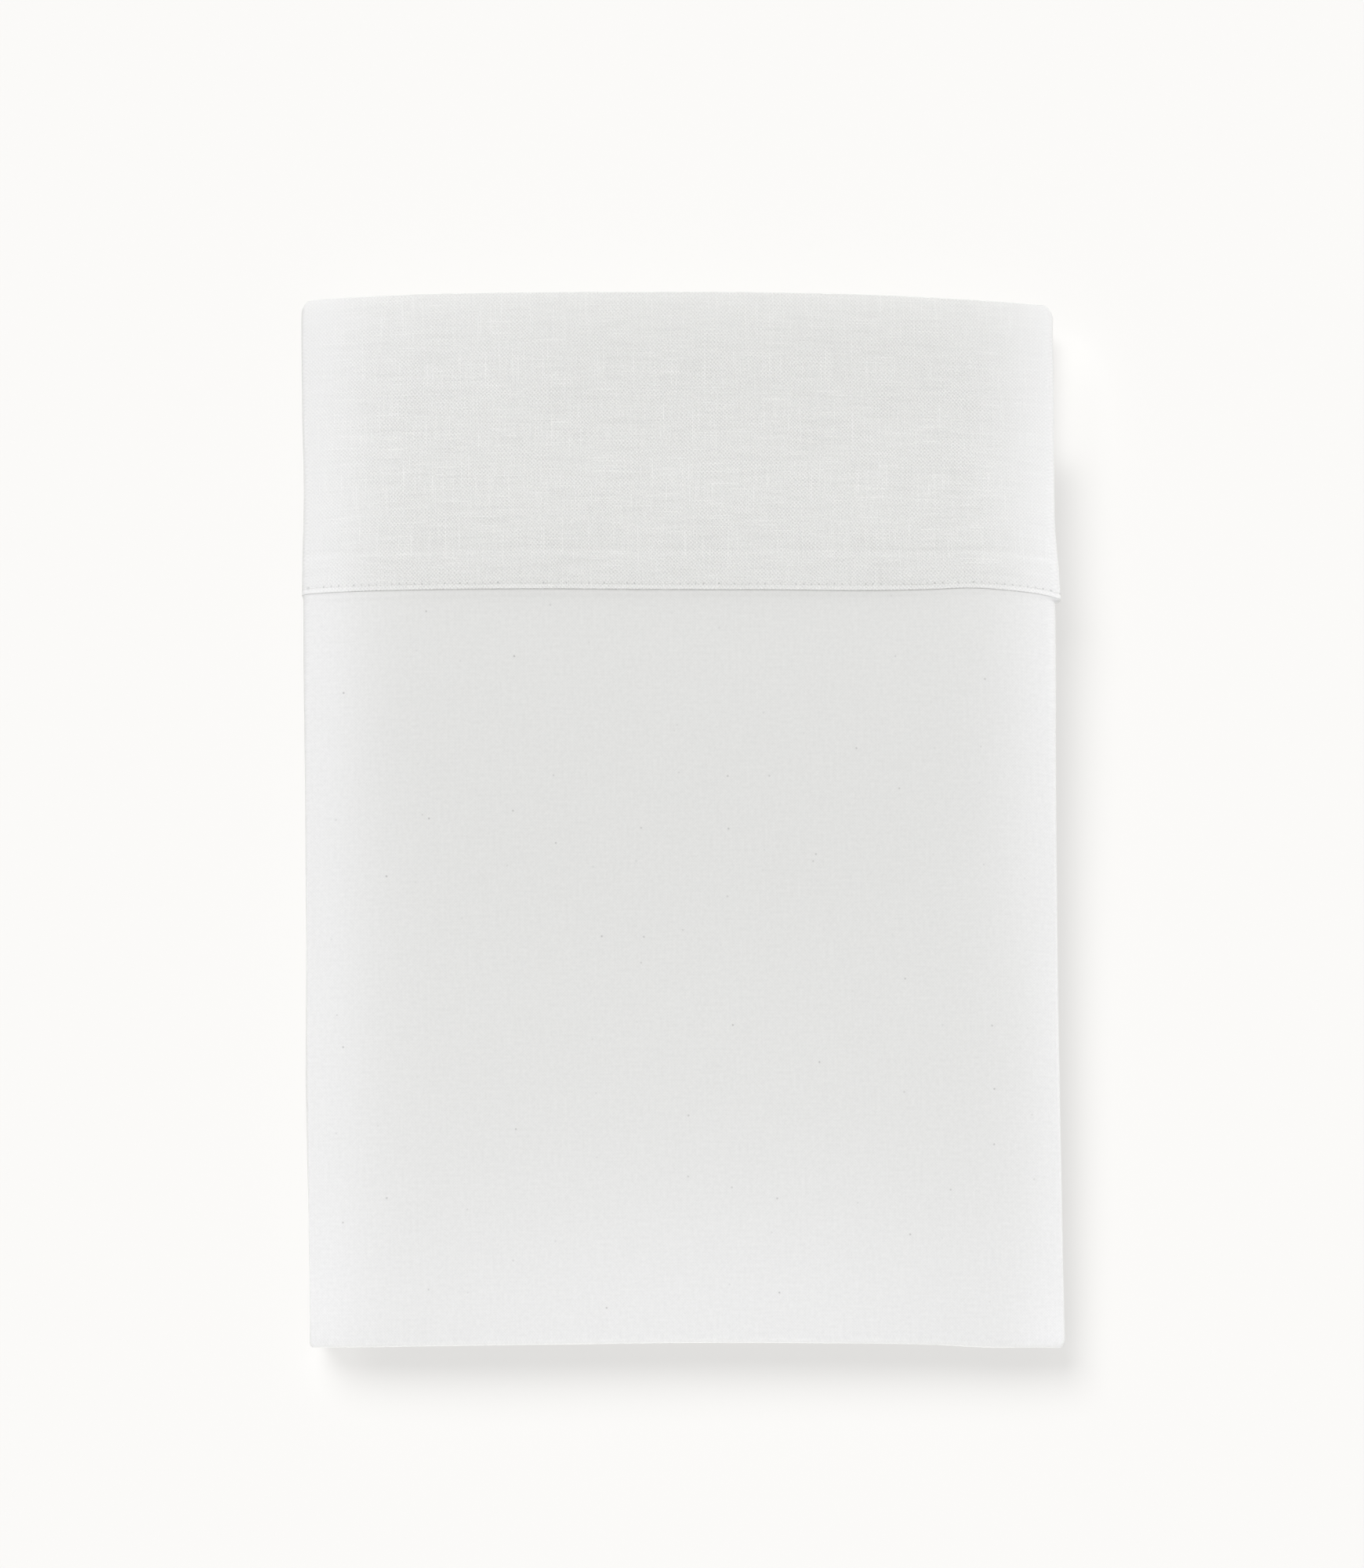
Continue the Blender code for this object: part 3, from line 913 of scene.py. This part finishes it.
def linen(stitch_line, free_fold):
    """Washed linen, a plain weave of thick and thin flax yarns. The eye gets a canvas of light
    and dark crossings, short bright dashes where a yarn is thick, and uneven, darker bands."""
    material, tree, shader = cloth_material("washed linen", 0.93)
    threads = thread_count(tree, LINEN_ACROSS, LINEN_ALONG)
    weave = crossings(tree, threads, LINEN_WANDER)
    patchy = mottle(tree, threads, LINEN_CROSSING_SHADE_AND_RELIEF)
    # The crossings as painted light and shade, the weave's relief lit from one side; they also go
    # into the bump
    checks = add(tree, "ShaderNodeMath", {0: weave, 1: patchy}, operation="MULTIPLY")
    yarns = total(tree, checks, *(mottle(tree, threads, row) for row in LINEN_MOTTLES))
    clear = clearness(tree, free_fold)
    pattern = add(tree, "ShaderNodeMath", {0: yarns, 1: clear}, operation="MULTIPLY")
    inputs = {0: checks, 1: clear, 2: pattern}
    raised = add(tree, "ShaderNodeMath", inputs, operation="MULTIPLY_ADD")
    # The needle holes' painted shade and the rim's painted highlight go into both the colour and
    # the bump
    hole_shade_and_dip, rim = seam_marks(tree, threads, stitch_line)
    tinted(tree, CLOTH_WHITE, total(tree, pattern, 1.0, hole_shade_and_dip, rim), shader)
    embossed(tree, total(tree, raised, hole_shade_and_dip, rim), LINEN_BUMP, shader)
    return material


def clearness(tree, free_fold):
    """How clearly the weave shows: less towards the side folds and the free fold, where the
    yarns are pressed flat."""
    place = add(tree, "ShaderNodeUVMap", uv_map="Weave")
    side = FACE.length / 2
    middle = (FACE.start + side, free_fold, 0.0)
    offset = add(tree, "ShaderNodeVectorMath", {0: place, 1: middle}, operation="SUBTRACT")
    away = add(tree, "ShaderNodeVectorMath", {0: offset}, operation="ABSOLUTE")
    across = add(tree, "ShaderNodeSeparateXYZ", {"Vector": away}, output="X")
    along = across.node.outputs["Y"]
    fade = ranges((side - SIDE_RUN, side), SIDE_CLEAR)
    from_side = add(tree, "ShaderNodeMapRange", {"Value": across, **fade})
    fade = ranges((0.0, FREE_RUN), FREE_CLEAR)
    from_fold = add(tree, "ShaderNodeMapRange", {"Value": along, **fade})
    return add(tree, "ShaderNodeMath", {0: from_side, 1: from_fold}, operation="MULTIPLY")


def seam_marks(tree, threads, stitch_line):
    """Two values along the seam: painted shade in the needle holes, as dark dots, and a painted
    highlight on the rounded rim of the stitched edge in front of them."""
    place = add(tree, "ShaderNodeUVMap", uv_map="Weave")
    first = (FACE.start, stitch_line, 0.0)
    from_first = add(tree, "ShaderNodeVectorMath", {0: place, 1: first}, operation="SUBTRACT")
    flat = add(tree, "ShaderNodeSeparateXYZ", {"Vector": from_first}, output="X")
    along = flat.node.outputs["Y"]
    half = STITCH_PITCH / 2
    across = add(tree, "ShaderNodeMath", {0: flat, 1: half, 2: -half}, operation="WRAP")
    from_hole = add(tree, "ShaderNodeCombineXYZ", {"X": across, "Y": along})
    size = (1 / HOLE_ACROSS, 1 / HOLE_ALONG, 0.0)
    shape = add(tree, "ShaderNodeVectorMath", {0: from_hole, 1: size}, operation="MULTIPLY")
    far = add(tree, "ShaderNodeVectorMath", {0: shape}, operation="LENGTH", output="Value")
    # The painted shade of a needle hole, darkest in its middle
    shade = add(tree, "ShaderNodeMapRange", {"Value": far, **ranges(HOLE_FADE, (-1.0, 0.0))})
    depth = mottle(tree, threads, HOLE_SHADE_DEPTH)
    hole_shade_and_dip = add(tree, "ShaderNodeMath", {0: shade, 1: depth}, operation="MULTIPLY")
    # A painted highlight along the rounded rim of the stitched edge
    from_rim = total(tree, along, RIM_MIDDLE)
    off = add(tree, "ShaderNodeMath", {0: from_rim}, operation="ABSOLUTE")
    rim = add(tree, "ShaderNodeMapRange", {"Value": off, **ranges(RIM_FADE, (RIM_HIGHLIGHT, 0.0))})
    return hole_shade_and_dip, rim


def thread():
    """Cotton sewing thread, two plies twisted together. The eye gets a smooth white cord with
    slanting shades where the plies turn."""
    material, tree, shader = cloth_material("cotton thread", 0.75)
    place = add(tree, "ShaderNodeTexCoord", output="Object")
    inputs = {"Vector": place, "Scale": TWIST_SCALE, "Distortion": TWIST_WANDER}
    twist = add(tree, "ShaderNodeTexWave", inputs, output="Fac", bands_direction="DIAGONAL")
    light = add(tree, "ShaderNodeMapRange", {"Value": twist, **ranges((0.0, 1.0), TWIST_SHADES)})
    tinted(tree, THREAD_WHITE, light, shader)
    embossed(tree, twist, THREAD_BUMP, shader)
    return material


# ---------------- stage
VIEW_WIDTH = 0.4724  # what the camera sees from side to side, at the height of the pile's top
VIEW_SHIFT = (-0.00065, 0.0130)  # where it stands, from over the middle of the pile
VIEW_SHAPE = 1740 / 2000  # the width of the view over its height
EYE_HEIGHT = 1.9  # above the floor, as is the height of the face
FACE_HEIGHT = 0.0255
SENSOR = 36.0  # its height in millimetres

FLOOR_SIZE = 20.0
PAPER = "FBFAF8"
PAPER_GLOW = 0.678  # the share of the floor's brightness that is its own
PAPER_ALBEDO = 0.15


def camera():
    """A camera straight above the pile."""
    data = bpy.data.cameras.new("camera")
    data.sensor_fit = "VERTICAL"
    data.sensor_height = SENSOR
    data.lens = SENSOR * (EYE_HEIGHT - FACE_HEIGHT) * VIEW_SHAPE / VIEW_WIDTH
    seat = bpy.data.objects.new("camera", data)
    seat.location = (*VIEW_SHIFT, EYE_HEIGHT)
    bpy.context.scene.collection.objects.link(seat)
    bpy.context.scene.camera = seat


def paper_floor():
    """Studio paper, lit from below: dead matt and white, with a soft glow that keeps it white."""
    bm = bmesh.new()
    bmesh.ops.create_grid(bm, x_segments=1, y_segments=1, size=FLOOR_SIZE)
    floor = finished_mesh("floor", bm)
    material, _, shader = cloth_material("studio paper", 1.0)
    white = linear(PAPER)
    shader.inputs["Base Color"].default_value = (*(PAPER_ALBEDO * c for c in white[:3]), 1.0)
    shader.inputs["Specular IOR Level"].default_value = 0.0
    shader.inputs["Emission Color"].default_value = white
    shader.inputs["Emission Strength"].default_value = PAPER_GLOW
    floor.data.materials.append(material)
    return floor


# Soft lamps: strips just above three edges of the cloth, small lamps over the cuff's back left
# and the two front corners, low strips that face the front and both sides of the pile, and fills
# just above the floor, which clear the shadow at the back right and soften it at the front corners
Strip = namedtuple("Strip", "name lights_floor tint place toward size watts")
COOL = (0.965, 0.955, 1.10)
PLAIN = (1.0, 1.0, 1.0)
DOWN = (0, 0, -1)
BACK = (0, 1, 0)
LEFT = (-1, 0, 0)
RIGHT = (1, 0, 0)
STRIPS = (
    Strip("left strip", False, COOL, (-0.131, -0.055, 0.0445), DOWN, (0.02, 0.28), 0.0054),
    Strip("back left strip", False, COOL, (-0.131, 0.1475, 0.0445), DOWN, (0.02, 0.125), 0.0020),
    Strip("right strip", False, COOL, (0.134, 0.0775, 0.045), DOWN, (0.02, 0.245), 0.0052),
    Strip("right front strip", False, COOL, (0.135, -0.115, 0.037), DOWN, (0.014, 0.14), 0.0019),
    Strip("front strip", False, COOL, (0.004, -0.186, 0.100), DOWN, (0.24, 0.02), 0.0152),
    Strip("cuff lamp", False, COOL, (-0.0895, 0.168, 0.070), DOWN, (0.05, 0.02), 0.0007),
    Strip("right corner", False, COOL, (0.130, -0.182, 0.033), DOWN, (0.016, 0.012), 0.00017),
    Strip("left corner", False, COOL, (-0.131, -0.174, 0.034), DOWN, (0.012, 0.036), 0.00013),
    Strip("front wall strip", False, PLAIN, (-0.01, -0.300, 0.015), BACK, (0.44, 0.02), 0.158),
    Strip("right wall strip", False, PLAIN, (0.230, 0.0, 0.015), LEFT, (0.42, 0.02), 0.046),
    Strip("left wall strip", False, PLAIN, (-0.215, -0.110, 0.015), RIGHT, (0.18, 0.02), 0.011),
    Strip("back right fill", True, PLAIN, (0.1335, 0.1445, 0.008), DOWN, (0.006, 0.040), 0.0024),
    Strip("front left fill", True, PLAIN, (-0.1205, -0.189, 0.009), DOWN, (0.012, 0.012), 0.00056),
    Strip("front right fill", True, PLAIN, (0.133, -0.187, 0.008), DOWN, (0.010, 0.010), 0.00017),
)
# The key light on the cloth, and the same again on the floor, which sets the depth of the shadow
Sun = namedtuple("Sun", "name lights_floor power toward spread")
SUNS = (
    Sun("key", False, 1.575, (0.03, -0.645, -0.765), math.radians(30)),
    Sun("floor key", True, 7.2, (0.34, -0.64, -0.74), math.radians(34)),
)
# The strength of the white dome overhead and at the horizon, and where it changes
DOME = 0.518
HORIZON = 0.508
DOME_RISE = (0.05, 0.4)


def lamp(strip):
    """A soft strip lamp that the camera doesn't see."""
    data = bpy.data.lights.new(strip.name, "AREA")
    data.shape = "RECTANGLE"
    data.size, data.size_y = strip.size
    data.energy = strip.watts
    data.color = strip.tint
    made = bpy.data.objects.new(strip.name, data)
    made.location = strip.place
    made.visible_camera = False
    return made


def sun(row):
    """A soft sun."""
    data = bpy.data.lights.new(row.name, "SUN")
    data.energy = row.power
    data.angle = row.spread
    return bpy.data.objects.new(row.name, data)


def group(name, objects):
    """A collection of objects for a light to be limited to."""
    made = bpy.data.collections.new(name)
    for obj in objects:
        made.objects.link(obj)
    return made


def lights(cloths, floor):
    """A white dome, soft key lights from the back left and the strips, each on cloth or floor."""
    scene = bpy.context.scene
    scene.view_settings.view_transform = "Standard"
    world = bpy.data.worlds.new("studio")
    scene.world = world
    world.use_nodes = True
    tree = world.node_tree
    direction = add(tree, "ShaderNodeTexCoord", output="Generated")
    height = add(tree, "ShaderNodeSeparateXYZ", {"Vector": direction}, output="Z")
    inputs = {"Value": height, **ranges(DOME_RISE, (HORIZON, DOME))}
    background = tree.nodes["Background"]
    tree.links.new(add(tree, "ShaderNodeMapRange", inputs), background.inputs["Strength"])
    background.inputs["Color"].default_value = (1.0, 1.0, 1.0, 1.0)

    lit_cloths, lit_floor = group("lit cloth", cloths), group("lit floor", [floor])
    for make, rows in ((sun, SUNS), (lamp, STRIPS)):
        for row in rows:
            light = make(row)
            light.rotation_euler = Vector(row.toward).to_track_quat("-Z", "Y").to_euler()
            light.light_linking.receiver_collection = lit_floor if row.lights_floor else lit_cloths
            scene.collection.objects.link(light)


# ---------------- the whole sheet
def flat_marks(strip):
    """The flat distance along the linen strip to its row of stitches, and to its free fold."""
    places = [(row, row.spot(0.0)[0]) for row in strip]
    line = SEAM + STITCH_FROM_EDGE - 1e-6  # a hair short of it, against rounding
    stitched = next(row for row, y in places if row.lift == SEAM_LAYER and y > line)
    folded = max(places, key=lambda place: place[1])[0]
    return stitched.flat, folded.flat


def main():
    """Makes, places and lights the three pieces."""
    body, body_flat = folded_cloth("percale_body_cloth", columns(FACE_STEPS, False), body_rows())
    strip, across = cuff_rows(), columns(STITCHES * STEPS_IN_STITCH, True)
    cuff, cuff_flat = folded_cloth("linen_cuff_cloth", across, strip)
    stitches = topstitching()
    centred([body, cuff, stitches])
    for piece, material, node, slot in (
        (body, percale(), "percale_body", "percale"),
        (cuff, linen(*flat_marks(strip)), "linen_cuff", "linen"),
        (stitches, thread(), None, "linen"),
    ):
        piece.data.materials.append(material)
        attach(piece, "root")
        if node:
            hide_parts(node)
    camera()
    lights([body, cuff, stitches], paper_floor())


main()
